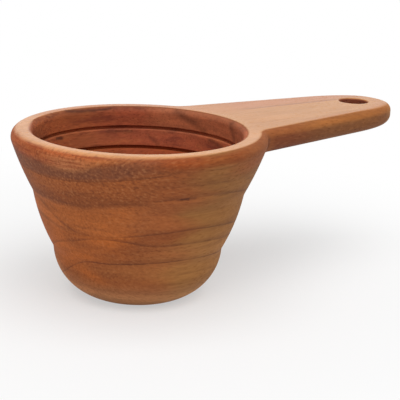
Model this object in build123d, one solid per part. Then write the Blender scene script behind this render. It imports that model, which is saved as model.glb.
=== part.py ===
"""Wooden measuring spoon: a turned cup whose rim runs into a flat, drilled handle.

The origin is the centre of the flat foot, +Z is up and the handle runs along +X.
All lengths are in millimetres. Depths are measured down from the rim's top plane.
"""

import math
import os

from build123d import *

# Cup, outside
cup_height = 46.9
rim_radius = 35.0  # at the widest point, just under the rounded top edge
rim_round = 2.5
upper_waist_radius = 29.5
upper_waist_depth = 16.8
lower_waist_radius = 23.8
lower_waist_depth = 33.2
foot_radius = 13.8
upper_tier_bulge = 0.45
middle_tier_bulge = 0.7
lower_tier_bulge = 2.7
waist_round = 4.0
foot_round = 1.5

# Cup, inside: below the rim, a wall is measured level from the straight line between waists
rim_wall = 6.0
rim_inner_round = 1.9
upper_ring_depth = 6.1
upper_ring_wall = 5.65
middle_ring_depth = 11.8
middle_ring_wall = 5.0
lower_ring_depth = 20.4
lower_ring_wall = 6.9
floor_thickness = 10.8
floor_wall = 8.8
floor_round = 8.0
cavity_shift = 0.6  # how far the cup is hollowed off its axis, away from the handle

# Measuring rings, cut into the inner wall over a small step
ring_cut = 0.75
ring_height = 1.05
ring_step = 0.5
ring_step_round = 0.35

# Handle
handle_reach = 96.0  # from the cup's axis to the tip
handle_thickness = 6.8
handle_root_width = 39.8  # at the rim
handle_end_width = 30.1  # where the rounded tip begins
handle_tip_length = 23.6
handle_edge_round = 3.0
root_round = 4.0

# Hanging hole
hang_hole_diameter = 9.0
hang_hole_inset = 12.2  # from the tip to the centre of the hole
hang_hole_round = 0.7

# Glued joint between the cup's stub and the handle
stub_length = 6.0  # from the rim's widest point to the joint
dowel_diameter = 3.5
dowel_spacing = 20.0
dowel_in_stub = 7.0
dowel_in_handle = 11.0
dowel_chamfer = 0.4
dowel_end_gap = 0.5

# Every cut runs this far past the wood that it leaves
overrun = 2.0

# Shapes this close are taken to touch
touch = 0.01

cubic_mm_per_ml = 1000


def outside_at(depth):
    """Radius of the straight line between the cup's corners, at a depth below the rim."""
    corners = [
        (0, rim_corner_radius),
        (upper_waist_depth, upper_waist_radius),
        (lower_waist_depth, lower_waist_radius),
        (cup_height, foot_radius),
    ]
    for (top, top_radius), (bottom, bottom_radius) in zip(corners, corners[1:]):
        if depth <= bottom:
            break
    return top_radius + (bottom_radius - top_radius) * (depth - top) / (bottom - top)


def bulged(start, end, bulge):
    """Arc from start to end whose middle stands out from the chord, away from the axis."""
    (start_x, start_z), (end_x, end_z) = start, end
    chord = math.hypot(end_x - start_x, end_z - start_z)
    middle_x = (start_x + end_x) / 2 + bulge * (start_z - end_z) / chord
    middle_z = (start_z + end_z) / 2 + bulge * (end_x - start_x) / chord
    return ThreePointArc(start, (middle_x, middle_z), end)


def corner_at(sketch, x, z):
    """The sketch's corner nearest to a point."""
    return min(sketch.vertices(), key=lambda v: math.hypot(v.X - x, v.Y - z))


def turned(sketch):
    """Turn a profile, drawn as radius and height, about the cup's axis."""
    return revolve(Plane.XZ * sketch, Axis.Z)


# The rim's top edge is rounded over, so its wall and top plane would meet further out
wall_lean = math.atan2(rim_radius - upper_waist_radius, upper_waist_depth - rim_round)
rim_corner_radius = rim_radius - rim_round + rim_round * math.tan(math.pi / 4 + wall_lean / 2)
joint_x = rim_radius + stub_length
handle_middle_z = cup_height - handle_thickness / 2


def make_cup_blank():
    """The cup's outer shape: three bulging tiers over a flat foot, with a sharp rim."""
    rim = (rim_corner_radius, cup_height)
    upper_waist = (upper_waist_radius, cup_height - upper_waist_depth)
    lower_waist = (lower_waist_radius, cup_height - lower_waist_depth)
    foot = (foot_radius, 0)
    outline = [
        Line((0, cup_height), rim),
        bulged(rim, upper_waist, upper_tier_bulge),
        bulged(upper_waist, lower_waist, middle_tier_bulge),
        bulged(lower_waist, foot, lower_tier_bulge),
        Line(foot, (0, 0)),
        Line((0, 0), (0, cup_height)),
    ]
    profile = make_face(outline)
    profile = fillet([corner_at(profile, *upper_waist), corner_at(profile, *lower_waist)], waist_round)
    profile = fillet(corner_at(profile, *foot), foot_round)
    return turned(profile)


def make_blade():
    """The handle's board, from inside the cup out to its tip, with its lower edge rounded."""
    tip_start = handle_reach - handle_tip_length
    root = handle_root_width / 2
    end = handle_end_width / 2
    slope = (end - root) / (tip_start - rim_radius)
    start_x = rim_radius / 2
    start = root + slope * (start_x - rim_radius)
    shoulder_share = math.sqrt(1 / 2)
    shoulder_x = tip_start + handle_tip_length * shoulder_share
    shoulder = end * shoulder_share
    left = Spline(
        (tip_start, end), (shoulder_x, shoulder), (handle_reach, 0), tangents=[(1, slope), (0, -1)]
    )
    right = Spline(
        (handle_reach, 0), (shoulder_x, -shoulder), (tip_start, -end), tangents=[(0, -1), (-1, slope)]
    )
    outline = [
        Line((start_x, start), (tip_start, end)),
        left,
        right,
        Line((tip_start, -end), (start_x, -start)),
        Line((start_x, -start), (start_x, start)),
    ]
    board = Pos(Z=cup_height - handle_thickness) * extrude(make_face(outline), handle_thickness)
    underside = board.faces().sort_by(Axis.Z)[0]
    open_edges = underside.edges().sort_by(Axis.X)[1:]
    return fillet(open_edges, handle_edge_round)


def make_outer_body():
    """Cup blank and blade as one shape, blended at the root and rounded along the top."""
    blank = make_cup_blank()
    blade = make_blade()
    walls = blank.faces().sort_by(Axis.Z)[:-1]
    body = blank + blade
    root_edges = []
    for edge in body.edges():
        middle = edge @ 0.5
        on_wall = min(wall.distance_to(middle) for wall in walls) < touch
        if on_wall and blade.distance_to(middle) < touch:
            root_edges.append(edge)
    body = fillet(root_edges, root_round)
    top = body.faces().sort_by(Axis.Z)[-1]
    return fillet(top.outer_wire().edges(), rim_round)


def make_cavity():
    """The inside of the cup, with the wall stepping in below each measuring ring."""
    rings = [
        (upper_ring_depth, upper_ring_wall),
        (middle_ring_depth, middle_ring_wall),
        (lower_ring_depth, lower_ring_wall),
    ]
    mouth_radius = rim_radius - rim_wall
    points = [(0, cup_height + overrun), (mouth_radius, cup_height + overrun), (mouth_radius, cup_height)]
    steps = []
    for depth, wall in rings:
        below = outside_at(depth) - wall
        above = below + ring_step
        top_z = cup_height - depth + ring_height / 2
        step_z = top_z - ring_height
        points += [(above, top_z), (above + ring_cut, top_z), (above + ring_cut, step_z), (below, step_z)]
        steps.append((below, step_z))
    floor_radius = outside_at(cup_height - floor_thickness) - floor_wall
    points += [(floor_radius, floor_thickness), (0, floor_thickness)]
    profile = make_face(Polyline(*points, close=True))
    profile = fillet([corner_at(profile, *step) for step in steps], ring_step_round)
    profile = fillet(corner_at(profile, floor_radius, floor_thickness), floor_round)
    return Pos(X=-cavity_shift) * turned(profile)


def make_whole_spoon(cavity):
    """The outer body, hollowed and drilled, before it is parted at the joint."""
    body = make_outer_body() - cavity
    top = body.faces().sort_by(Axis.Z)[-1]
    body = fillet(top.inner_wires()[0].edges(), rim_inner_round)
    hole_x = handle_reach - hang_hole_inset
    drill = Cylinder(hang_hole_diameter / 2, handle_thickness + overrun * 2)
    body -= Pos(hole_x, 0, handle_middle_z) * drill
    circles = body.edges().filter_by(GeomType.CIRCLE)
    hole_edges = [edge for edge in circles if abs(edge.arc_center.X - hole_x) < touch]
    return fillet(hole_edges, hang_hole_round)


def along_x(radius, start_x, end_x, y):
    """A round bar between two places along X, in the middle of the handle's thickness."""
    bar = Rot(Y=90) * Cylinder(radius, end_x - start_x)
    return Pos((start_x + end_x) / 2, y, handle_middle_z) * bar


def make_dowel(y):
    """A round dowel with chamfered ends that crosses the joint."""
    dowel = along_x(dowel_diameter / 2, joint_x - dowel_in_stub, joint_x + dowel_in_handle, y)
    return chamfer(dowel.edges().filter_by(GeomType.CIRCLE), dowel_chamfer)


def make_dowel_hole(y):
    """The hole for a dowel, longer than it at both ends to leave room for glue."""
    start_x = joint_x - dowel_in_stub - dowel_end_gap
    return along_x(dowel_diameter / 2, start_x, joint_x + dowel_in_handle + dowel_end_gap, y)


def capacity_below(cavity, depth):
    """Millilitres that the cup holds below a depth."""
    size = 4 * rim_radius
    above = Pos(Z=cup_height - depth + size / 2) * Box(size, size, size)
    return (cavity - above).volume / cubic_mm_per_ml


def main():
    """Build every piece, write it and print the sizes that the record needs."""
    cavity = make_cavity()
    spoon = make_whole_spoon(cavity)
    beyond = Pos(joint_x + handle_reach / 2, 0, handle_middle_z) * Box(
        handle_reach, handle_reach, handle_thickness + overrun * 2
    )
    places = {"dowel_left": dowel_spacing / 2, "dowel_right": -dowel_spacing / 2}
    cup = spoon - beyond
    handle = spoon & beyond
    for y in places.values():
        cup -= make_dowel_hole(y)
        handle -= make_dowel_hole(y)
    pieces = {"cup": cup, "handle": handle}
    for name, y in places.items():
        pieces[name] = make_dowel(y)

    os.makedirs("parts", exist_ok=True)
    for name, piece in pieces.items():
        export_step(piece, f"parts/{name}.step")

    levels = {
        "rim": 0,
        "upper ring": upper_ring_depth,
        "middle ring": middle_ring_depth,
        "lower ring": lower_ring_depth,
    }
    for name, depth in levels.items():
        print(f"holds {capacity_below(cavity, depth):.1f} ml below the {name}")
    wood = sum(piece.volume for piece in pieces.values())
    balance_x = sum(piece.volume * piece.center(CenterOf.MASS).X for piece in pieces.values()) / wood
    print(f"wood weighs in at x {balance_x:.1f} mm, over a foot that reaches {foot_radius} mm")


main()
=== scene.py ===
"""A wooden measuring spoon on a pale floor: a turned cup, its flat handle and the dowels between them.

The pieces keep the shapes of the frame. This script gives them oiled wood with one run of grain
through cup and handle, as if both were sawn from the same plank, and sets up a plain studio.
Lengths are in millimetres until they are handed to Blender, unless a comment says metres.
"""

import logging
import math
import operator
from collections.abc import Iterable, Mapping
from dataclasses import dataclass
from enum import Enum
from functools import reduce
from typing import Any, Union

import bmesh
import bpy
from mathutils import Matrix, Vector


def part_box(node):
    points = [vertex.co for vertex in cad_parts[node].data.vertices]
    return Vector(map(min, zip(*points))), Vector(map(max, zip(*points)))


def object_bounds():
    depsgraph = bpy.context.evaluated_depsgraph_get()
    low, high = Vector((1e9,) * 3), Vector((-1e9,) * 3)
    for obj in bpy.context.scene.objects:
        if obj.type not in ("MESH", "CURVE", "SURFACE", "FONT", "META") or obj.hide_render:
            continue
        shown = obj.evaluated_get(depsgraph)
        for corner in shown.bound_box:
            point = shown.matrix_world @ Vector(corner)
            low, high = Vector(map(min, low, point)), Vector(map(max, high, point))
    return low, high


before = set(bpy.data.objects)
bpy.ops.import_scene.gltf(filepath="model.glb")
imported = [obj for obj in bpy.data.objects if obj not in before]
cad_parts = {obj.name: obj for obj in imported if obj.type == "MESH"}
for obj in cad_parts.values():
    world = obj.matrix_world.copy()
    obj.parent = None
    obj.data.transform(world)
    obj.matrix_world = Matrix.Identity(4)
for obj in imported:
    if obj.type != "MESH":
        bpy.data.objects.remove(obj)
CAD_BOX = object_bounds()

log = logging.getLogger("spoon")

Colour = tuple[float, float, float]
Place = tuple[float, float, float]
Ends = tuple[float, ...]
Number = Union[float, "Wire"]
Socket = bpy.types.NodeSocket

MM = 0.001
IMAGE_SIZE = 400
SENSOR_MM = 36.0
WHITE = (1.0, 1.0, 1.0, 1.0)
SHOWING_RAYS = ("Is Camera Ray", "Is Glossy Ray", "Is Transmission Ray")

CUP_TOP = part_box("cup")[1][2] / MM
HANDLE_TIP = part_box("handle")[1][0] / MM


def srgb(red: int, green: int, blue: int) -> Colour:
    """Turn a colour as a screen shows it, from 0 to 255, into linear light, from 0 to 1."""
    parts = (value / 255 for value in (red, green, blue))
    return tuple(part / 12.92 if part <= 0.04045 else ((part + 0.055) / 1.055) ** 2.4 for part in parts)


class Mixing(Enum):
    """How an upper colour goes over a lower one."""

    COVER = "MIX"
    STAIN = "MULTIPLY"


@dataclass(frozen=True)
class Clouds:
    """A cloudy noise: how long its clouds are along each axis, in millimetres, and its finer layers."""

    size: Place
    detail: float = 2.0
    rough: float = 0.5


@dataclass(frozen=True)
class Change:
    """A value that changes smoothly between two places: the places, and the value at each."""

    places: Ends
    values: Ends


@dataclass(frozen=True)
class Fleck:
    """Wood of another colour that starts to show at one value of a noise and is whole at the other."""

    colour: Colour
    share: float
    ends: Ends


@dataclass(frozen=True)
class Zone:
    """A part of the plank, by where it fades in and out along each measure that bounds it.

    Two numbers say where the zone starts and where it is whole. Two more say where it stops being
    whole and where it ends.

    Attributes:
        x: Along the grain.
        y: Across the plank.
        z: Up from the foot.
        radius: Away from the cup's axis.
        level: Up through the plank's layers.
        blotched: Along the grain, with an end that large blotches push back and forth.
    """

    x: Ends = ()
    y: Ends = ()
    z: Ends = ()
    radius: Ends = ()
    level: Ends = ()
    blotched: Ends = ()


@dataclass(frozen=True)
class Tint:
    """A zone of the wood that leans to another colour, by a share from 0 to 1."""

    colour: Colour
    share: float
    zone: Zone
    mixing: Mixing = Mixing.COVER


class Wire:
    """A shader socket with a number on it, which Python's own operators can do sums on."""

    def __init__(self, sheet: "Sheet", socket: Socket) -> None:
        """Wrap an output socket of a sheet, one that holds a number."""
        self.sheet = sheet
        self.socket = socket

    def __add__(self, other: Number) -> "Wire":
        """Add a number or another wire."""
        return self.sheet.maths("ADD", self, other)

    __radd__ = __add__

    def __sub__(self, other: Number) -> "Wire":
        """Take a number or another wire away."""
        return self.sheet.maths("SUBTRACT", self, other)

    def __rsub__(self, other: Number) -> "Wire":
        """Take this wire away from a number."""
        return self.sheet.maths("SUBTRACT", other, self)

    def __mul__(self, other: Number) -> "Wire":
        """Multiply by a number or another wire."""
        return self.sheet.maths("MULTIPLY", self, other)

    __rmul__ = __mul__

    def __truediv__(self, other: Number) -> "Wire":
        """Divide by a number or another wire."""
        return self.sheet.maths("DIVIDE", self, other)

    def __neg__(self) -> "Wire":
        """Turn the sign round."""
        return self.sheet.maths("MULTIPLY", self, -1.0)

    def scaled(self, low: float, high: float) -> "Wire":
        """Go from one value to another as this wire goes from 0 to 1."""
        return low + (high - low) * self


class Sheet:
    """The node tree of one material or world, and the ways to add to it."""

    def __init__(self, tree: bpy.types.NodeTree) -> None:
        """Empty the node tree of a material or a world and keep it."""
        self.tree = tree
        tree.nodes.clear()

    def node(
        self,
        kind: str,
        settings: Mapping[str, Any] | None = None,
        inputs: Mapping[Union[str, int], Any] | None = None,
    ) -> bpy.types.Node:
        """Add one node.

        Args:
            kind: The node's type, such as ShaderNodeMath.
            settings: Its own settings, set before its sockets.
            inputs: What goes into its sockets, by name or number: values, wires or sockets.

        Returns:
            The new node.
        """
        new = self.tree.nodes.new(kind)
        for name, value in (settings or {}).items():
            setattr(new, name, value)
        for name, value in (inputs or {}).items():
            if isinstance(value, Wire):
                self.tree.links.new(value.socket, new.inputs[name])
            elif isinstance(value, Socket):
                self.tree.links.new(value, new.inputs[name])
            else:
                new.inputs[name].default_value = value
        return new

    def maths(self, operation: str, *values: Number) -> Wire:
        """Add a Math node that does an operation, such as ADD, on one or two numbers."""
        new = self.node("ShaderNodeMath", {"operation": operation}, dict(enumerate(values)))
        return Wire(self, new.outputs[0])

    def step(self, value: Wire, low: Number, high: Number) -> Wire:
        """Rise smoothly from 0 to 1 between two values, or fall where low is the larger.

        Args:
            value: What is measured.
            low: Where the result is 0.
            high: Where the result is 1.

        Returns:
            A number from 0 to 1.
        """
        ends = {"Value": value, "From Min": low, "From Max": high}
        new = self.node("ShaderNodeMapRange", {"interpolation_type": "SMOOTHSTEP"}, ends)
        return Wire(self, new.outputs["Result"])

    def mask(self, value: Wire, ends: Ends) -> Wire:
        """Fade in from one value to a second and, if there are four, out from the third to the fourth.

        Args:
            value: What is measured.
            ends: The two or four values.

        Returns:
            A number that is 1 between the fades and 0 beyond them.
        """
        whole = self.step(value, ends[0], ends[1])
        if len(ends) > 2:
            whole = whole * self.step(value, ends[3], ends[2])
        return whole

    def change(self, value: Wire, change: Change) -> Wire:
        """Look up a change at the place that a wire measures."""
        return self.step(value, *change.places).scaled(*change.values)

    def most(self, values: Iterable[Wire]) -> Wire:
        """Find the largest of some values."""
        return reduce(lambda first, second: self.maths("MAXIMUM", first, second), values)

    def millimetres(self) -> Socket:
        """Read the place of a point on a piece, in millimetres."""
        return self.vectors("DIVIDE", self.node("ShaderNodeTexCoord").outputs["Object"], (MM, MM, MM))

    def vectors(self, operation: str, first: Socket, second: Place | Socket) -> Socket:
        """Do a sum on two vectors, such as MULTIPLY."""
        new = self.node("ShaderNodeVectorMath", {"operation": operation}, {0: first, 1: second})
        return new.outputs["Vector"]

    def length(self, vector: Socket) -> Wire:
        """Measure a vector."""
        new = self.node("ShaderNodeVectorMath", {"operation": "LENGTH"}, {0: vector})
        return Wire(self, new.outputs["Value"])

    def noise(self, place: Socket, clouds: Clouds) -> Wire:
        """Add cloudy noise, drawn out along the axes.

        Args:
            place: Where it is read, in millimetres.
            clouds: Its look.

        Returns:
            A number from 0 to 1, about 0.5 on average.
        """
        drawn = self.vectors("DIVIDE", place, clouds.size)
        sockets = {"Vector": drawn, "Scale": 1.0, "Detail": clouds.detail, "Roughness": clouds.rough}
        return Wire(self, self.node("ShaderNodeTexNoise", None, sockets).outputs["Fac"])

    def cells(self, place: Socket, spacing: Place) -> Wire:
        """Scatter points with a spacing along each axis and measure, in spacings, how far the nearest is."""
        sockets = {"Vector": self.vectors("DIVIDE", place, spacing), "Scale": 1.0}
        return Wire(self, self.node("ShaderNodeTexVoronoi", {"feature": "F1"}, sockets).outputs["Distance"])

    def blend(
        self, share: Number, under: Colour | Socket, over: Colour | Socket, mixing: Mixing = Mixing.COVER
    ) -> Socket:
        """Lay one colour over another.

        Args:
            share: How much of the upper colour shows, from 0 to 1.
            under: The lower colour.
            over: The upper colour.
            mixing: How they mix.

        Returns:
            The mixed colour.
        """
        lower, upper = (c if isinstance(c, Socket) else (*c, 1.0) for c in (under, over))
        settings = {"data_type": "RGBA", "blend_type": mixing.value, "clamp_result": True}
        new = self.node("ShaderNodeMix", settings, {0: share, 6: lower, 7: upper})
        return new.outputs[2]

    def fleck(self, under: Socket, noise: Wire, fleck: Fleck, within: Number) -> Socket:
        """Fleck a colour where a noise is high or low, and only within a mask."""
        return self.blend(self.step(noise, *fleck.ends) * within * fleck.share, under, fleck.colour)

    def output(self, shader: bpy.types.Node, kind: str = "ShaderNodeOutputMaterial") -> None:
        """Send a finished shader out of the sheet."""
        self.node(kind, None, {"Surface": shader.outputs[0]})


def new_sheet(name: str) -> tuple[bpy.types.Material, Sheet]:
    """Start a material.

    Args:
        name: The material's name.

    Returns:
        The material and its empty sheet.
    """
    material = bpy.data.materials.new(name)
    material.use_nodes = True
    return material, Sheet(material.node_tree)


@dataclass(frozen=True)
class Swell:
    """A place where something beside the plank, such as a knot, pushed a layer up or down.

    Attributes:
        x: Its middle along the grain.
        y: Its middle across the plank.
        reach: How far from its middle the layer lies flat again.
        rise: How far the layer is pushed up at the middle.
    """

    x: float
    y: float
    reach: float
    rise: float


@dataclass(frozen=True)
class GrowthLine:
    """A dark line where one season's wood ends, sharp below and soft above.

    Attributes:
        level: Its height over the foot, at the cup's axis.
        depth: How dark it gets, from 0 to 1.
        fade: How far above it the wood is darkened.
        steady: How unbroken it is, from 0 to 1.
        span: Where it starts and ends along the grain.
        lean: How much it rises for each millimetre towards the back.
        drift: How much more it rises for each millimetre along the grain.
        swells: Where it is pushed up or down.
        under: How far below it the wood is darkened.
    """

    level: float
    depth: float
    fade: float
    steady: float = 0.5
    span: tuple[float, float] = (-60.0, 160.0)
    lean: float = 0.0
    drift: float = 0.0
    swells: tuple[Swell, ...] = ()
    under: float = 0.3


@dataclass(frozen=True)
class DarkMark:
    """A dark streak from one place to another: a stain in the wood, or painted shade along a crease.

    Attributes:
        start: One end.
        end: The other end.
        reach: How far it spreads around the line between them.
        depth: How dark it gets, from 0 to 1.
    """

    start: Place
    end: Place
    reach: float
    depth: float


@dataclass(frozen=True)
class Ring:
    """A measuring ring cut into the cup's wall.

    Attributes:
        depth: How far below the rim its middle lies.
        radius: The wall's radius just below it.
    """

    depth: float
    radius: float


@dataclass(frozen=True)
class Cup:
    """The turned cup, with the stub that the handle is glued to.

    Attributes:
        node: Its name in the frame.
        height: The height of its rim, which is level with the handle's top.
        wall_middle: The radius halfway through the wall, at the rim.
        wall_lean: How much less that is for each millimetre down.
        wall_blend: How far each side of there the two colours blend.
        floor: The heights in the floor at which the inside starts and is whole.
        lip: How far below the rim the inside starts and is whole.
        cavity_shift: How far it is hollowed off its axis, away from the handle.
        rings: Its measuring rings.
        groove: How far from a ring's middle its groove starts and is whole, up or down.
        groove_reach: How far outside the wall its bottom starts, is whole, stops being whole and ends.
        top_reaches: How far down a rounded edge the pale top, which is painted highlight, comes. These add
            up.
        crisp_reach: How far down it comes where the inner edge is crisp.
        top_above: How far above the rim it is whole, on a soft and on the crisp edge.
        crisp_radius: The radii at which the inner edge starts and is whole.
        crisp_turn: How much nearer the front the crisp stretch starts for each millimetre along the grain.
        crisp_start: Where it starts and is whole across the plank, level with the cup's axis.
    """

    node: str = "cup"
    height: float = CUP_TOP
    wall_middle: float = 32.4
    wall_lean: float = 0.335
    wall_blend: float = 0.5
    floor: Ends = (5.4, 10.8)
    lip: Ends = (0.035, 0.35)
    cavity_shift: float = 0.6
    rings: tuple[Ring, ...] = (Ring(6.1, 28.1), Ring(11.8, 26.5), Ring(20.4, 21.3))
    groove: Ends = (0.651, 0.525)
    groove_reach: Ends = (-0.1, 0.3, 1.4, 1.8)
    top_reaches: tuple[Change, ...] = (
        Change((-26.0, -10.0), (0.9, 0.6)),
        Change((-16.0, 6.0), (0.0, -0.45)),
        Change((72.0, 92.0), (0.0, 0.5)),
    )
    crisp_reach: float = 0.09
    top_above: Ends = (0.02, -0.01)
    crisp_radius: Ends = (33.0, 32.0)
    crisp_turn: float = 0.6
    crisp_start: Ends = (1.0, 12.0)

    def inside(self, plank: "Plank") -> Wire:
        """Find the inner wall and floor.

        Args:
            plank: The plank.

        Returns:
            A number that is 1 there and 0 on the rest of the cup.
        """
        middle = self.wall_middle - self.wall_lean * (self.height - plank.z)
        inner = plank.sheet.step(middle - plank.radius, -self.wall_blend, self.wall_blend)
        under_rim = plank.sheet.step(self.height - plank.z, *self.lip)
        return inner * plank.sheet.step(plank.z, *self.floor) * under_rim

    def grooves(self, plank: "Plank") -> Wire:
        """Find the bottoms of the measuring rings.

        Args:
            plank: The plank.

        Returns:
            A number that is 1 there and 0 on the rest of the cup.
        """
        sheet = plank.sheet
        radius = plank.off_axis(-self.cavity_shift, 0.0)
        found = []
        for ring in self.rings:
            away = sheet.maths("ABSOLUTE", plank.z - (self.height - ring.depth))
            level = sheet.step(away, *self.groove)
            found.append(level * sheet.mask(radius - ring.radius, self.groove_reach))
        return sheet.most(found)

    def top(self, plank: "Plank", crisp: Wire) -> Wire:
        """Find the level top that the rim shares with the handle.

        Args:
            plank: The plank.
            crisp: A mask of the crisp stretch of the inner edge.

        Returns:
            A number that is 1 there and 0 on the rest.
        """
        soft = reduce(operator.add, [plank.sheet.change(plank.x, reach) for reach in self.top_reaches])
        reach = soft * (1.0 - crisp) + self.crisp_reach * crisp
        return plank.sheet.step(plank.z - self.height, -reach, crisp.scaled(*self.top_above))

    def crisp(self, plank: "Plank") -> Wire:
        """Mask the back and right of the inner edge, where the pale top ends sharply."""
        inner = plank.sheet.step(plank.radius, *self.crisp_radius)
        return inner * plank.sheet.step(plank.y + self.crisp_turn * plank.x, *self.crisp_start)

    def dress(self, wood: bpy.types.Material) -> None:
        """Give the cup its wood."""
        dress(self.node, wood)


@dataclass(frozen=True)
class Handle:
    """The flat handle with its hanging hole.

    Attributes:
        node: Its name in the frame.
        tip: How far its tip is from the cup's axis.
        tip_length: How long its rounded tip is.
        root_x: Where its width is measured.
        root_half: Half of its width there.
        taper: How much less that is for each millimetre towards the tip.
        eased_share: The shares of half its width at which the edge starts to fall away and has done so.
        eased_start: Where along it the edge starts to be rounded this way, and is.
        hole_inset: How far the hole's middle is from the tip.
        hole_radius: The hole's radius.
        hole_round: How far its edges are rounded.
    """

    node: str = "handle"
    tip: float = HANDLE_TIP
    tip_length: float = 23.6
    root_x: float = 35.0
    root_half: float = 19.9
    taper: float = 0.13
    eased_share: Ends = (0.66, 0.86)
    eased_start: Ends = (42.0, 56.0)
    hole_inset: float = 12.2
    hole_radius: float = 4.5
    hole_round: float = 0.7

    def bore(self, plank: "Plank") -> Wire:
        """Mask the wall of the hanging hole."""
        away = plank.off_axis(self.tip - self.hole_inset, 0.0)
        return plank.sheet.step(away, self.hole_radius + self.hole_round / 2, self.hole_radius)

    def eased(self, plank: "Plank") -> Wire:
        """Find the border of the top, where the edge begins to fall away.

        Args:
            plank: The plank.

        Returns:
            A number that is 1 at the edge and 0 in the middle.
        """
        sheet = plank.sheet
        across = plank.y / (self.root_half - self.taper * (plank.x - self.root_x))
        tip_start = self.tip - self.tip_length
        along = sheet.maths("MAXIMUM", plank.x - tip_start, 0.0) / self.tip_length
        away = sheet.maths("SQRT", across * across + along * along)
        return sheet.step(away, *self.eased_share) * sheet.step(plank.x, *self.eased_start)

    def dress(self, wood: bpy.types.Material) -> None:
        """Give the handle its wood."""
        dress(self.node, wood)


@dataclass(frozen=True)
class DowelPair:
    """The two blind dowels that hold the handle on the cup's stub."""

    nodes: tuple[str, ...] = ("dowel_left", "dowel_right")

    def dress(self, wood: bpy.types.Material) -> None:
        """Give both dowels their wood."""
        for node in self.nodes:
            dress(node, wood)


def dress(node: str, material: bpy.types.Material) -> None:
    """Give a node of the frame its finish.

    Args:
        node: The node's name.
        material: The finish.
    """
    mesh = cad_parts[node].data
    mesh.materials.clear()
    mesh.materials.append(material)
    log.info("%s: %d triangles, %s", node, len(mesh.polygons), material.name)


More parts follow.
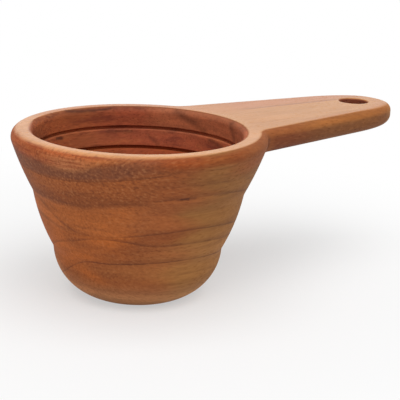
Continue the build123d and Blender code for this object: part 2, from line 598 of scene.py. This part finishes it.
class Plank:
    """The plank that the spoon is cut from: its layers lie nearly level and its fibres run along X."""

    run_out = 0.04  # how fast the layers sink along the fibres
    sag_start = 6.0  # the layers curl up from here towards the front edge
    sag_reach = 25.0
    sag = 4.2
    wander = 1.3
    wander_clouds = Clouds((55.0, 16.0, 13.0), 3.0)
    break_clouds = Clouds((9.0, 22.0, 3.0), 3.0)
    break_ends = (0.40, 0.60)  # a growth line is faint below the first and whole above the second
    mottle_clouds = Clouds((3.0, 2.0, 1.4), 3.0, 0.65)
    blotch_clouds = Clouds((24.0, 14.0, 7.0))
    blotch_push = 26.0
    line_top = -0.2  # how far over its own height the soft side of a growth line is whole
    line_end = 8.0  # how far a growth line fades out along the grain
    stain_fray = 0.9  # how far the mottle pushes the border of a dark mark, in reaches
    stain_end = 1.5  # where a dark mark ends, in reaches

    def __init__(self, sheet: Sheet) -> None:
        """Lay the plank out on a node sheet.

        Args:
            sheet: The material's node sheet.
        """
        self.sheet = sheet
        self.swells: dict[Swell, Wire] = {}
        self.place = sheet.millimetres()
        parts = sheet.node("ShaderNodeSeparateXYZ", None, {0: self.place}).outputs
        self.x, self.y, self.z = (Wire(sheet, socket) for socket in parts)
        self.radius = self.off_axis(0.0, 0.0)
        self.level = self._level()
        self.breaks = sheet.noise(self.place, self.break_clouds)
        self.mottle = sheet.noise(self.place, self.mottle_clouds)
        self.blotches = sheet.noise(self.place, self.blotch_clouds)
        self.blotched = self.frayed(self.blotches, self.blotch_push)

    def _level(self) -> Wire:
        """Work out the height of a place in the plank, along its curled layers.

        Returns:
            The height, in millimetres.
        """
        curl = self.sheet.maths("MAXIMUM", -self.y - self.sag_start, 0.0) / self.sag_reach
        wander = (self.sheet.noise(self.place, self.wander_clouds) - 0.5) * self.wander
        return self.z - self.sag * curl * curl + self.run_out * self.x + wander

    def frayed(self, noise: Wire, push: float) -> Wire:
        """Measure along the grain, pushed back and forth by a noise."""
        return self.x + (noise - 0.5) * push

    def off_axis(self, x: float, y: float) -> Wire:
        """Measure how far a place is from an upright line that stands at x and y."""
        flat = self.sheet.vectors("MULTIPLY", self.place, (1.0, 1.0, 0.0))
        return self.sheet.length(self.sheet.vectors("SUBTRACT", flat, (x, y, 0.0)))

    def zone(self, zone: Zone) -> Wire:
        """Mask a zone with a number that is 1 in it and 0 outside."""
        masks = (self.sheet.mask(getattr(self, name), ends) for name, ends in vars(zone).items() if ends)
        return reduce(operator.mul, masks)

    def tint(self, under: Colour | Socket, tint: Tint, within: Number = 1.0) -> Socket:
        """Tint a colour in the tint's own zone, and there only within a mask."""
        share = self.zone(tint.zone) * tint.share * within
        return self.sheet.blend(share, under, tint.colour, tint.mixing)

    def swell(self, swell: Swell) -> Wire:
        """Work out how far a swell pushes a layer up.

        Args:
            swell: The swell.

        Returns:
            The rise, in millimetres.
        """
        if swell not in self.swells:
            flat = self.sheet.step(self.off_axis(swell.x, swell.y), swell.reach, 0.0)
            self.swells[swell] = flat * swell.rise
        return self.swells[swell]

    def height_over(self, line: GrowthLine) -> Wire:
        """Measure how far a place lies above a growth line, or below where it is negative.

        Args:
            line: The growth line.

        Returns:
            The height, in millimetres.
        """
        above = self.level - line.level
        if line.lean or line.drift:
            above = above - self.y * line.lean - self.x * line.drift
        for swell in line.swells:
            above = above - self.swell(swell)
        return above

    def darkness(self, line: GrowthLine) -> Wire:
        """Work out how dark a growth line makes a place.

        Args:
            line: The growth line.

        Returns:
            A number from 0 to 1.
        """
        above = self.height_over(line)
        edge = self.sheet.step(above, -line.under, 0.0)
        soft = self.sheet.step(above, line.fade, self.line_top)
        start, end = line.span
        span = self.sheet.mask(self.x, (start, start + self.line_end, end - self.line_end, end))
        whole = self.sheet.change(self.breaks, Change(self.break_ends, (line.steady, 1.0)))
        return edge * soft * soft * span * whole * line.depth

    def stain(self, mark: DarkMark) -> Wire:
        """Work out how dark a stained patch, or a crease's painted shade, makes a place.

        Args:
            mark: The patch.

        Returns:
            A number from 0 to 1.
        """
        sheet = self.sheet
        run = Vector(mark.end) - Vector(mark.start)
        away = sheet.vectors("SUBTRACT", self.place, mark.start)
        along = sheet.node("ShaderNodeVectorMath", {"operation": "DOT_PRODUCT"}, {0: away, 1: run})
        share = Wire(sheet, along.outputs["Value"]) / run.length_squared
        share = sheet.maths("MINIMUM", sheet.maths("MAXIMUM", share, 0.0), 1.0)
        on_line = sheet.node("ShaderNodeVectorMath", {"operation": "SCALE"}, {0: run, "Scale": share})
        off = sheet.length(sheet.vectors("SUBTRACT", away, on_line.outputs["Vector"])) / mark.reach
        core = sheet.step(off + (self.mottle - 0.5) * self.stain_fray, self.stain_end, 0.0)
        return core * core * mark.depth


KNOT_LIFT = Swell(-30.0, 7.0, 20.0, 7.0)
KNOT_PRESS = Swell(-30.0, 7.0, 20.0, 2.3)
KNOT_DROP = Swell(-25.0, 11.0, 22.0, -9.5)
KNOT_FOLD = (Swell(-22.0, -16.0, 16.0, 3.0), Swell(-26.0, 11.0, 16.0, -5.0))

COLLAR_SAG = Swell(-31.0, -14.0, 11.0, 1.5)
COLLAR_RISE = Swell(-8.0, -33.0, 15.0, -1.2)

HANDLE_LINE = GrowthLine(54.6, 0.62, 3.0, 0.85, (38.0, 86.0), lean=-1.0, drift=-0.003, under=1.0)

GROWTH_LINES = (
    GrowthLine(5.5, 0.08, 2.0, 0.3),
    GrowthLine(9.6, 0.25, 1.5, 0.2, (-12.0, 60.0)),
    GrowthLine(13.8, 0.80, 0.9, 0.6, swells=(KNOT_DROP,)),
    GrowthLine(13.8, 0.20, 3.6, 0.5, swells=(KNOT_DROP,)),
    GrowthLine(18.5, 0.55, 1.7, 0.6, swells=KNOT_FOLD),
    GrowthLine(21.7, 0.42, 2.2, 0.5, (-60.0, -20.0), swells=(KNOT_PRESS,), under=0.8),
    GrowthLine(24.4, 0.36, 1.8, 0.3, (-60.0, -19.0), swells=(KNOT_LIFT,), under=0.8),
    GrowthLine(22.2, 0.50, 2.2, 0.6, (-60.0, -18.0), swells=(KNOT_LIFT,), under=0.8),
    GrowthLine(22.2, 0.80, 1.1, 0.7, (-24.0, 60.0), swells=(KNOT_LIFT,)),
    GrowthLine(22.2, 0.12, 4.0, 0.5, swells=(KNOT_LIFT,)),
    GrowthLine(22.2, 0.40, 2.0, 0.7, (-12.0, 60.0), swells=(KNOT_LIFT,)),
    GrowthLine(30.9, 0.46, 1.6, 1.0, (-60.0, -19.0), under=2.2),
    GrowthLine(30.9, 0.36, 6.5, 1.0, (-60.0, -12.0), under=2.2),
    GrowthLine(29.4, 0.20, 1.2, 1.0, (-30.0, -13.0), under=1.6),
    GrowthLine(30.9, 0.60, 1.2, 0.6, (-19.0, 60.0)),
    GrowthLine(30.9, 0.40, 3.4, 0.8, (-19.0, 10.0)),
    GrowthLine(34.0, 0.25, 1.2, 0.2),
    GrowthLine(37.4, 0.60, 1.0, 0.7, (-60.0, -9.0)),
)

DARK_MARKS_AND_CREASE_SHADE = (
    DarkMark((-8.7, -30.7, 35.3), (-6.7, -31.1, 35.3), 0.75, 0.95),
    DarkMark((-9.5, -30.5, 35.3), (-5.0, -31.6, 35.5), 0.9, 0.5),
    DarkMark((1.2, -32.0, 35.6), (6.4, -31.2, 35.2), 0.9, 0.45),
    DarkMark((-6.0, 29.5, 46.5), (3.7, 29.0, 46.0), 0.9, 0.85),
    DarkMark((3.2, 29.0, 46.0), (8.5, 28.1, 46.3), 0.6, 0.9),
    DarkMark((-11.2, 25.8, 39.8), (-9.2, 26.5, 39.5), 0.85, 0.9),
    DarkMark((9.4, 26.1, 39.7), (13.8, 24.0, 39.6), 0.8, 0.6),
    DarkMark((7.0, 27.0, 39.5), (15.0, 23.3, 39.4), 1.2, 0.35),
    DarkMark((16.1, 24.8, 46.5), (18.9, 21.8, 44.7), 1.1, 0.3),
    DarkMark((17.4, 21.2, 38.9), (19.5, 18.2, 36.2), 1.0, 0.4),
    DarkMark((24.3, 16.0, 46.2), (27.4, 6.0, 41.8), 1.6, 0.5),
    DarkMark((28.2, -5.2, 46.0), (26.8, -8.5, 42.0), 1.7, 0.5),
    DarkMark((27.1, 3.2, 39.7), (27.1, -2.6, 38.6), 1.1, 0.6),
    # painted shade in the front crease where the handle meets the cup
    DarkMark((28.8, -20.9, 44.6), (28.6, -20.9, 40.4), 1.5, 0.45),
    DarkMark((-34.3, -5.0, 44.4), (-33.6, -3.5, 42.8), 1.8, 0.3),
    # painted shade in the back crease where the handle meets the cup
    DarkMark((28.8, 20.9, 44.6), (28.3, 20.9, 40.4), 1.3, 0.4),
)

PORE_CLUSTER = DarkMark((-23.0, -27.0, 43.6), (-15.5, -31.0, 44.8), 2.6, 1.0)


@dataclass(frozen=True)
class SpoonWood:
    """Oiled, finely sanded brown hardwood.

    A share here goes from 0 to 1. Two numbers with no comment say where a mask starts and is whole.
    """

    name: str = "oiled_brown_wood"
    cup: Cup = Cup()
    handle: Handle = Handle()

    # Colours that more than one place uses
    russet: Colour = srgb(160, 88, 44)
    collar: Colour = srgb(206, 122, 66)
    # lip is also the colour of painted highlight: on the rim's top and on the front below it
    lip: Colour = srgb(234, 170, 114)
    gold: Colour = srgb(204, 142, 80)
    pink: Colour = srgb(210, 130, 86)
    line: Colour = srgb(84, 42, 26)
    pore: Colour = srgb(92, 46, 28)
    streak: Colour = srgb(140, 58, 30)

    # Plain wood: orange at the left, russet above the strongest growth line and further on, then olive
    orange: Colour = srgb(192, 104, 44)
    upper_russet: Change = Change((28.8, 31.4), (0.0, 0.8))
    russet_start: Ends = (-27.0, -17.0)
    ground_tints: tuple[Tint, ...] = (
        Tint(srgb(163, 109, 56), 1.0, Zone(blotched=(-12.0, 2.0))),
        Tint(line, 0.16, Zone(level=(28.8, 31.4), blotched=(-14.0, 6.0))),
        Tint(gold, 0.3, Zone(level=(5.0, 11.0, 16.0, 21.0), blotched=(-24.0, -4.0))),
        Tint(collar, 0.25, Zone(level=(21.5, 23.5, 29.5, 31.0), blotched=(2.0, -14.0))),
    )
    # Painted light: the foot is made lighter, in place of light thrown up by the floor
    foot: Colour = srgb(223, 167, 114)
    foot_bounce_share: float = 0.54
    foot_height: Ends = (10.5, 2.5)
    foot_rise: Change = Change((-2.0, 8.0), (0.0, 4.0))

    # Lighter collar under the rim
    ember: Colour = srgb(194, 98, 52)
    ember_start: Ends = (-24.0, -33.0)
    collar_share: float = 0.68
    collar_level: Ends = (39.9, 42.6)
    collar_tilt: float = 0.05
    collar_end: Ends = (34.0, -4.0)
    collar_push: float = 20.0
    # Painted highlight on the wall just under the front-left rim, in the pale lip colour
    rim_highlight: Tint = Tint(lip, 0.22, Zone(z=(46.0, 44.5), level=(38.5, 40.5)))

    # Root and sides of the handle, with painted shade on the sides, deepest low down at the root
    root: Zone = Zone(x=(56.0, 36.0))
    reddened: Tint = Tint(russet, 1.0, Zone(x=(-4.0, 14.0), z=(38.0, 42.0)))
    reddened_shares: Ends = (0.3, 0.8)  # away from the root and at it
    side: Zone = Zone(z=(45.6, 44.0), radius=(35.0, 39.0))
    side_shade_share: float = 0.32
    root_shade: Change = Change((42.6, 40.6), (0.14, 0.38))
    root_corner_shade: float = 0.25

    # Pale level top of rim and handle, a painted highlight in place of its sheen, and its borders, with
    # painted shade where they round over
    pale: Colour = srgb(218, 151, 84)
    top_highlight_share: float = 0.85
    behind_line: Tint = Tint(pink, 0.7, Zone(x=(36.0, 48.0)))
    behind_start: Ends = (0.0, 3.0)
    top_tints: tuple[Tint, ...] = (
        Tint(lip, 1.0, Zone(x=(34.0, 16.0))),
        Tint(pink, 0.35, Zone(x=(16.0, 28.0, 36.0, 50.0), y=(0.0, 10.0))),
        Tint(collar, 0.65, Zone(x=(-26.0, -8.0, 22.0, 30.0), y=(8.0, 20.0))),
    )
    # Painted shade on the rim's outer rounding at the front, where it turns away from the light
    shoulder_shade: Tint = Tint(
        srgb(158, 64, 12),
        0.5,
        Zone(x=(-26.0, -12.0, 5.0, 15.0), z=(43.0, 44.8, CUP_TOP - 0.8, CUP_TOP), radius=(33.0, 34.0)),
    )
    # Painted shade on the handle's rounded border, where it falls away from the light and shows less sheen
    eased: Tint = Tint(srgb(196, 118, 54), 0.5, Zone(z=(44.4, 45.8)))
    # Painted shade on the rounded tip, where the top turns away from the light
    tip_shade_share: float = 0.5
    tip_turn: float = 0.25
    tip_start: Ends = (HANDLE_TIP - 7.0, HANDLE_TIP - 1.5)

    # Inside of the cup and the hanging hole, with painted light and shade in them
    inside: Colour = srgb(184, 90, 60)
    inside_along: Change = Change((-12.0, 18.0), (0.45, 0.90))
    inside_up: Change = Change((22.0, 33.0), (0.3, 1.0))
    patches: Clouds = Clouds((12.0, 9.0, 3.0), 3.0, 0.6)
    dark_patch: Fleck = Fleck(srgb(112, 50, 40), 1.0, (0.50, 0.66))
    dark_patch_along: Change = Change((-26.0, -10.0), (0.2, 0.55))
    light_patch: Fleck = Fleck(collar, 0.3, (0.46, 0.30))
    # Painted shade just inside the rim at the back and right, on the inner rounding
    crisp_edge_shade: Tint = Tint(line, 0.42, Zone(z=(CUP_TOP - 1.4, CUP_TOP - 0.5, CUP_TOP - 0.15, CUP_TOP)))
    # Painted shade on the wall of the hanging hole
    bore_shade_share: float = 0.55
    # Painted light on the inner wall at the right, just below the rim
    inner_wall_light: Tint = Tint(pink, 0.45, Zone(x=(15.0, 22.0, 29.0, 33.0), z=(39.0, 41.5)))
    # Painted shade: the inside darkens in a belt below the second measuring ring
    deep_shade: Tint = Tint(srgb(226, 206, 166), 1.0, Zone(z=(24.0, 31.0, 34.5, 36.5)), Mixing.STAIN)
    # Painted shade at the bottoms of the measuring rings
    groove: Colour = srgb(72, 34, 22)
    groove_shade_share: float = 0.1

    # Dusky band below the collar
    band: Tint = Tint(srgb(124, 72, 48), 1.0, Zone(level=(37.2, 38.4)))
    band_mottle: Ends = (0.35, 1.25)  # its depth where the mottle is lowest and highest
    band_top: Ends = (42.8, 40.6)
    band_back: Change = Change((3.0, 19.0), (0.0, 2.2))
    band_end: Ends = (-13.0, -24.0)
    band_fray: float = 8.0

    # Fibres, layers and pores. Two shares are for the sides and for the top.
    fibres: Clouds = Clouds((14.0, 0.55, 0.55), 3.0, 0.6)
    fibre_shares: Ends = (0.15, 0.12)
    layers: Clouds = Clouds((50.0, 12.0, 2.4), 2.0, 0.6)
    layer_shares: Ends = (0.24, 0.10)
    shade: Fleck = Fleck(line, 1.0, (0.62, 0.34))
    pore_spacing: Place = (2.6, 0.62, 0.62)
    pore_size: Ends = (0.36, 0.12)
    pore_crowds: Clouds = Clouds((26.0, 9.0, 5.0))
    pore_crowding: Change = Change((0.38, 0.62), (0.35, 1.0))
    pore_depths: Ends = (0.32, 0.92)  # away from their cluster and in it
    pore_shares: Ends = (1.0, 0.2)

    # Dots and streaks of the end grain
    dots: Clouds = Clouds((2.4, 0.62, 0.62), 1.0)
    dots_along: Change = Change((4.0, -26.0), (0.35, 1.0))
    dots_up: Change = Change((28.0, 36.0), (1.0, 1.6))
    dot_shares: Ends = (1.0, 0.4)  # on the sides and on the top
    light_dot: Fleck = Fleck(srgb(214, 148, 96), 0.15, (0.52, 0.76))
    dark_dot: Fleck = Fleck(pore, 0.28, (0.50, 0.26))
    streaks: Clouds = Clouds((9.0, 9.0, 0.45))
    streaked: Fleck = Fleck(streak, 0.55, (0.48, 0.62))
    streaks_end: Ends = (-17.0, -26.0)
    streaks_fray: float = 12.0
    streaks_up: Ends = (CUP_TOP, CUP_TOP - 0.6)

    # Gloss and relief
    roughness: Ends = (0.78, 0.36)  # on the sides and on the top
    fibre_gloss: float = 0.16
    pore_roughness: float = 0.2
    specular: float = 0.2
    relief: float = 0.35
    relief_height: float = 0.12  # in millimetres
    fibre_relief: float = 0.5
    layer_relief: float = 0.5
    pore_relief: float = 0.8

    def make(self) -> bpy.types.Material:
        """Build the material.

        Returns:
            The finished material.
        """
        material, sheet = new_sheet(self.name)
        plank = Plank(sheet)
        fibres = sheet.noise(plank.place, self.fibres)
        layers = sheet.noise(plank.place, self.layers)
        pores = self.pores(plank)
        crisp = self.cup.crisp(plank)
        top = self.cup.top(plank, crisp)
        under_rim = self.under_rim(plank)
        bore = self.handle.bore(plank)
        cut = sheet.most((self.cup.inside(plank), bore))
        colour = self.ground(plank, top, under_rim)
        colour = self.hollows(plank, colour, cut)
        # painted shade on the inner edge at the back and right
        colour = plank.tint(colour, self.crisp_edge_shade, crisp)
        # painted shade in the hanging hole
        colour = sheet.blend(bore * self.bore_shade_share, colour, self.line)
        # painted light on the right inner wall
        colour = plank.tint(colour, self.inner_wall_light, cut)
        colour = sheet.fleck(colour, layers, self.shade, top.scaled(*self.layer_shares))
        colour = sheet.fleck(colour, fibres, self.shade, top.scaled(*self.fibre_shares))
        colour = self.figure(plank, colour)
        colour = self.speckle(plank, colour, top, under_rim)
        depth = plank.stain(PORE_CLUSTER).scaled(*self.pore_depths) * top.scaled(*self.pore_shares)
        colour = sheet.blend(pores * depth, colour, self.pore)
        # painted shade deep in the cup
        colour = plank.tint(colour, self.deep_shade, cut)
        # painted shade in the measuring rings' grooves
        colour = sheet.blend(self.cup.grooves(plank) * self.groove_shade_share, colour, self.groove)
        height = fibres * self.fibre_relief + layers * self.layer_relief - pores * self.pore_relief
        raised = {"Strength": self.relief, "Distance": self.relief_height * MM, "Height": height}
        bump = sheet.node("ShaderNodeBump", None, raised)
        roughness = top.scaled(*self.roughness) - self.fibre_gloss * fibres + self.pore_roughness * pores
        sockets = {
            "Base Color": colour,
            "Roughness": roughness,
            "Specular IOR Level": self.specular,
            "Normal": bump.outputs[0],
        }
        sheet.output(sheet.node("ShaderNodeBsdfPrincipled", None, sockets))
        return material

    def ground(self, plank: Plank, top: Wire, under_rim: Wire) -> Socket:
        """Colour the plain wood of the outside and the level top.

        Args:
            plank: The plank.
            top: A mask of the level top.
            under_rim: A mask of the wood just under the rim.

        Returns:
            The colour.
        """
        sheet = plank.sheet
        upper = sheet.change(plank.level, self.upper_russet)
        russet = sheet.most((upper, sheet.step(plank.blotched, *self.russet_start)))
        colour = sheet.blend(russet, self.orange, self.russet)
        for tint in self.ground_tints:
            colour = plank.tint(colour, tint)
        # painted light near the foot, as the floor would throw up
        foot = sheet.step(plank.z - sheet.change(plank.y, self.foot_rise), *self.foot_height)
        colour = sheet.blend(foot * self.foot_bounce_share, colour, self.foot)
        end = sheet.step(plank.frayed(plank.blotches, self.collar_push), *self.collar_end)
        tone = sheet.blend(sheet.step(plank.x, *self.ember_start), self.collar, self.ember)
        colour = sheet.blend(under_rim * end * self.collar_share, colour, tone)
        # painted highlight under the front-left rim
        colour = plank.tint(colour, self.rim_highlight, plank.swell(COLLAR_SAG))
        colour = self.handle_sides(plank, colour)
        # Painted highlight: the level top is laid over paler, in place of the sheen it catches
        colour = sheet.blend(top * self.top_highlight_share, colour, self.top_highlight_colour(plank))
        colour = plank.tint(colour, self.shoulder_shade)
        # painted shade on the handle's rounded border
        colour = plank.tint(colour, self.eased, self.handle.eased(plank))
        # painted shade at the handle's tip
        tip = sheet.step(plank.x - self.tip_turn * plank.y, *self.tip_start)
        return sheet.blend(tip * self.tip_shade_share, colour, self.gold)

    def handle_sides(self, plank: Plank, colour: Socket) -> Socket:
        """Redden the sides of the handle and darken them with painted shade, most at its root.

        Args:
            plank: The plank.
            colour: The colour under that.

        Returns:
            The colour with it.
        """
        root = plank.zone(self.root)
        side = plank.zone(self.side)
        colour = plank.tint(colour, self.reddened, root.scaled(*self.reddened_shares))
        # painted shade on the handle's sides, deeper low down at the root
        darkness = self.side_shade_share + root * plank.sheet.change(plank.z, self.root_shade)
        colour = plank.sheet.blend(side * darkness, colour, self.line)
        return plank.sheet.blend(side * root * self.root_corner_shade, colour, self.streak)

    def top_highlight_colour(self, plank: Plank) -> Socket:
        """Colour the painted highlight on the level top of the rim and the handle.

        Args:
            plank: The plank.

        Returns:
            The colour.
        """
        behind = plank.sheet.step(plank.height_over(HANDLE_LINE), *self.behind_start)
        colour = plank.tint(self.pale, self.behind_line, behind)
        for tint in self.top_tints:
            colour = plank.tint(colour, tint)
        return colour

    def under_rim(self, plank: Plank) -> Wire:
        """Find the lighter wood just under the rim, above the dark band."""
        swells = plank.swell(COLLAR_SAG) + plank.swell(COLLAR_RISE)
        return plank.sheet.step(plank.level + self.collar_tilt * plank.y + swells, *self.collar_level)

    def hollows(self, plank: Plank, colour: Socket, cut: Wire) -> Socket:
        """Colour the inside of the cup and of the hanging hole.

        Args:
            plank: The plank.
            colour: The colour under that.
            cut: A mask of the inside.

        Returns:
            The colour with it.
        """
        sheet = plank.sheet
        red = sheet.change(plank.x, self.inside_along) * sheet.change(plank.z, self.inside_up)
        colour = sheet.blend(cut * red, colour, self.inside)
        patches = sheet.noise(plank.place, self.patches)
        share = sheet.change(plank.x, self.dark_patch_along) * cut
        colour = sheet.fleck(colour, patches, self.dark_patch, share)
        return sheet.fleck(colour, patches, self.light_patch, cut)

    def speckle(self, plank: Plank, colour: Socket, top: Wire, under_rim: Wire) -> Socket:
        """Add the dots of the end grain, thickest at the left, where the fibres are cut across.

        Args:
            plank: The plank.
            colour: The colour under them.
            top: A mask of the level top.
            under_rim: A mask of the wood just under the rim, which is streaked at the left.

        Returns:
            The colour with them.
        """
        sheet = plank.sheet
        dots = sheet.noise(plank.place, self.dots)
        across = sheet.change(plank.x, self.dots_along) * top.scaled(*self.dot_shares)
        across = across * sheet.change(plank.level, self.dots_up)
        for dot in (self.light_dot, self.dark_dot):
            colour = sheet.fleck(colour, dots, dot, across)
        left = sheet.step(plank.frayed(plank.breaks, self.streaks_fray), *self.streaks_end)
        left = left * under_rim * sheet.step(plank.z, *self.streaks_up)
        return sheet.fleck(colour, sheet.noise(plank.place, self.streaks), self.streaked, left)

    def figure(self, plank: Plank, colour: Socket) -> Socket:
        """Add the growth lines, the dark band and the stained patches.

        Args:
            plank: The plank.
            colour: The colour under them.

        Returns:
            The colour with them.
        """
        sheet = plank.sheet
        back = sheet.change(plank.y, self.band_back)
        upper = sheet.step(plank.level - back + plank.swell(COLLAR_SAG), *self.band_top)
        end = sheet.step(plank.frayed(plank.breaks, self.band_fray), *self.band_end)
        colour = plank.tint(colour, self.band, upper * end * plank.mottle.scaled(*self.band_mottle))
        lines = [plank.darkness(line) for line in GROWTH_LINES]
        marks = [plank.stain(mark) for mark in DARK_MARKS_AND_CREASE_SHADE]
        colour = sheet.blend(plank.darkness(HANDLE_LINE), colour, self.streak)
        return sheet.blend(sheet.most(lines + marks), colour, self.line)

    def pores(self, plank: Plank) -> Wire:
        """Open the pores: short dark dashes along the fibres, dots where these are cut across.

        Args:
            plank: The plank.

        Returns:
            A number that is 1 in a pore and 0 beside it.
        """
        sheet = plank.sheet
        crowding = sheet.change(sheet.noise(plank.place, self.pore_crowds), self.pore_crowding)
        return sheet.step(sheet.cells(plank.place, self.pore_spacing), *self.pore_size) * crowding


@dataclass(frozen=True)
class DowelWood:
    """Pale, dry, straight-grained beech-like wood with short flecks."""

    name: str = "pale_dowel_wood"
    pale: Colour = srgb(222, 190, 146)
    dark: Colour = srgb(186, 142, 98)
    fibres: Clouds = Clouds((12.0, 0.35, 0.35), 3.0, 0.6)
    fibre_ends: Ends = (0.65, 0.35)
    fleck_spacing: Place = (1.6, 0.5, 0.5)
    fleck_size: Ends = (0.30, 0.15)
    fleck_share: float = 0.5
    fleck_relief: float = 0.5
    roughness: Ends = (0.72, 0.84)  # of plain wood and of a fleck
    relief: float = 0.4
    relief_height: float = 0.08  # in millimetres

    def make(self) -> bpy.types.Material:
        """Build the material.

        Returns:
            The finished material.
        """
        material, sheet = new_sheet(self.name)
        place = sheet.millimetres()
        fibres = sheet.noise(place, self.fibres)
        flecks = sheet.step(sheet.cells(place, self.fleck_spacing), *self.fleck_size)
        colour = sheet.blend(sheet.step(fibres, *self.fibre_ends), self.pale, self.dark)
        colour = sheet.blend(flecks * self.fleck_share, colour, self.dark)
        height = fibres - flecks * self.fleck_relief
        raised = {"Strength": self.relief, "Distance": self.relief_height * MM, "Height": height}
        bump = sheet.node("ShaderNodeBump", None, raised)
        roughness = flecks.scaled(*self.roughness)
        sockets = {"Base Color": colour, "Roughness": roughness, "Normal": bump.outputs[0]}
        sheet.output(sheet.node("ShaderNodeBsdfPrincipled", None, sockets))
        return material


@dataclass(frozen=True)
class PaleFloor:
    """Plain matt white floor that keeps the spoon's shadow and fades to the white behind it."""

    name: str = "pale_floor"
    colour: Colour = (0.9, 0.9, 0.9)  # already linear
    roughness: float = 0.9
    fade: Change = Change((0.03, 0.17), (0.5, 1.0))  # the share of plain white, by metres from the foot

    def make(self) -> bpy.types.Material:
        """Build the material.

        Returns:
            The finished material.
        """
        material, sheet = new_sheet(self.name)
        sockets = {"Base Color": (*self.colour, 1.0), "Roughness": self.roughness, "Specular IOR Level": 0.0}
        matt = sheet.node("ShaderNodeBsdfPrincipled", None, sockets)
        white = sheet.node("ShaderNodeEmission", None, {"Color": WHITE, "Strength": 1.0})
        away = sheet.length(sheet.node("ShaderNodeTexCoord").outputs["Object"])
        share = seen_directly(sheet) * sheet.change(away, self.fade)
        sockets = {0: share, 1: matt.outputs[0], 2: white.outputs[0]}
        sheet.output(sheet.node("ShaderNodeMixShader", None, sockets))
        return material


def seen_directly(sheet: Sheet) -> Wire:
    """Give 1 for rays that show something to the eye, also in a reflection, and 0 for rays that light."""
    path = sheet.node("ShaderNodeLightPath").outputs
    return sheet.most(Wire(sheet, path[name]) for name in SHOWING_RAYS)


def towards(azimuth: float, elevation: float) -> Vector:
    """Point away from the spoon, by degrees from the front, -Y, towards +X and degrees above the floor."""
    across, up = math.radians(azimuth), math.radians(elevation)
    return Vector((math.sin(across) * math.cos(up), -math.cos(across) * math.cos(up), math.sin(up)))


@dataclass(frozen=True)
class SpoonCamera:
    """The photograph's viewpoint. Pixels are those of the 400 by 400 image."""

    azimuth: float = -35.2
    elevation: float = 12.431
    distance: float = 290.2
    roll: float = 2.258
    focal_px: float = 1050.0
    rim_centre_px: tuple[float, float] = (140.519, 127.431)
    clip_start: float = 0.01  # in metres

    def make(self) -> None:
        """Make the camera and look through it."""
        rim_centre = Vector((0, 0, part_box("cup")[1][2]))
        back = towards(self.azimuth, self.elevation)
        roll = math.radians(self.roll)
        across, down = (pixel - IMAGE_SIZE / 2 for pixel in self.rim_centre_px)
        right = (across * math.cos(roll) + down * math.sin(roll)) / self.focal_px
        up = (across * math.sin(roll) - down * math.cos(roll)) / self.focal_px
        aim = Vector((right, up, -1.0)).normalized()
        tilt = math.asin(-back.z / math.hypot(aim.y, aim.z)) - math.atan2(aim.y, -aim.z)
        forward = -aim.z * math.cos(tilt) - aim.y * math.sin(tilt)
        heading = math.atan2(-back.x, -back.y) - math.atan2(aim.x, forward)
        look = Vector((
            math.sin(heading) * math.cos(tilt), math.cos(heading) * math.cos(tilt), math.sin(tilt)
        ))
        level_right = Vector((math.cos(heading), -math.sin(heading), 0))
        level_up = level_right.cross(look)
        camera_x = math.cos(roll) * level_right + math.sin(roll) * level_up
        camera_y = math.cos(roll) * level_up - math.sin(roll) * level_right
        data = bpy.data.cameras.new("spoon_camera")
        data.sensor_width = SENSOR_MM
        data.lens = self.focal_px / IMAGE_SIZE * SENSOR_MM
        data.clip_start = self.clip_start
        camera = bpy.data.objects.new("spoon_camera", data)
        turn = Matrix((camera_x, camera_y, -look)).transposed().to_4x4()
        camera.matrix_world = Matrix.Translation(rim_centre + back * self.distance * MM) @ turn
        bpy.context.collection.objects.link(camera)
        bpy.context.scene.camera = camera


@dataclass(frozen=True)
class SoftLamp:
    """A square softbox, aimed at the middle of the spoon. Its lengths are in metres."""

    name: str
    azimuth: float
    elevation: float
    distance: float
    side: float
    power: float

    def make(self, target: Vector) -> None:
        """Hang the lamp.

        Args:
            target: What it points at.
        """
        away = towards(self.azimuth, self.elevation)
        data = bpy.data.lights.new(self.name, "AREA")
        data.shape = "SQUARE"
        data.size = self.side
        data.energy = self.power
        lamp = bpy.data.objects.new(self.name, data)
        lamp.location = target + away * self.distance
        lamp.rotation_euler = away.to_track_quat("Z", "Y").to_euler()
        bpy.context.collection.objects.link(lamp)


@dataclass(frozen=True)
class Studio:
    """A pale floor, a soft lamp overhead and an even white surround."""

    ambient: float = 0.33
    floor_side: float = 6.0  # in metres
    lamps: tuple[SoftLamp, ...] = (SoftLamp("top_softbox", -30.0, 72.0, 1.2, 1.4, 14.5),)

    def make(self) -> None:
        """Set up everything that isn't the spoon."""
        bpy.context.scene.view_settings.view_transform = "Standard"
        target = sum((Vector(corner) for corner in CAD_BOX), Vector()) / 2
        for lamp in self.lamps:
            lamp.make(target)
        self.make_floor()
        self.make_world()

    def make_floor(self) -> None:
        """Lay the floor under the foot."""
        mesh = bpy.data.meshes.new("floor")
        grid = bmesh.new()
        bmesh.ops.create_grid(grid, x_segments=1, y_segments=1, size=self.floor_side / 2)
        grid.to_mesh(mesh)
        grid.free()
        floor = bpy.data.objects.new("floor", mesh)
        bpy.context.collection.objects.link(floor)
        mesh.materials.append(PaleFloor().make())

    def make_world(self) -> None:
        """Make the surround, white to the eye and dimmer as a light."""
        world = bpy.data.worlds.new("studio")
        bpy.context.scene.world = world
        world.use_nodes = True
        sheet = Sheet(world.node_tree)
        strength = seen_directly(sheet).scaled(self.ambient, 1.0)
        back = sheet.node("ShaderNodeBackground", None, {"Color": WHITE, "Strength": strength})
        sheet.output(back, "ShaderNodeOutputWorld")


def main() -> None:
    """Build the scene."""
    logging.basicConfig(level=logging.INFO, format="%(message)s")
    SpoonCamera().make()
    Studio().make()
    wood = SpoonWood().make()
    Cup().dress(wood)
    Handle().dress(wood)
    DowelPair().dress(DowelWood().make())


if __name__ == "__main__":
    main()
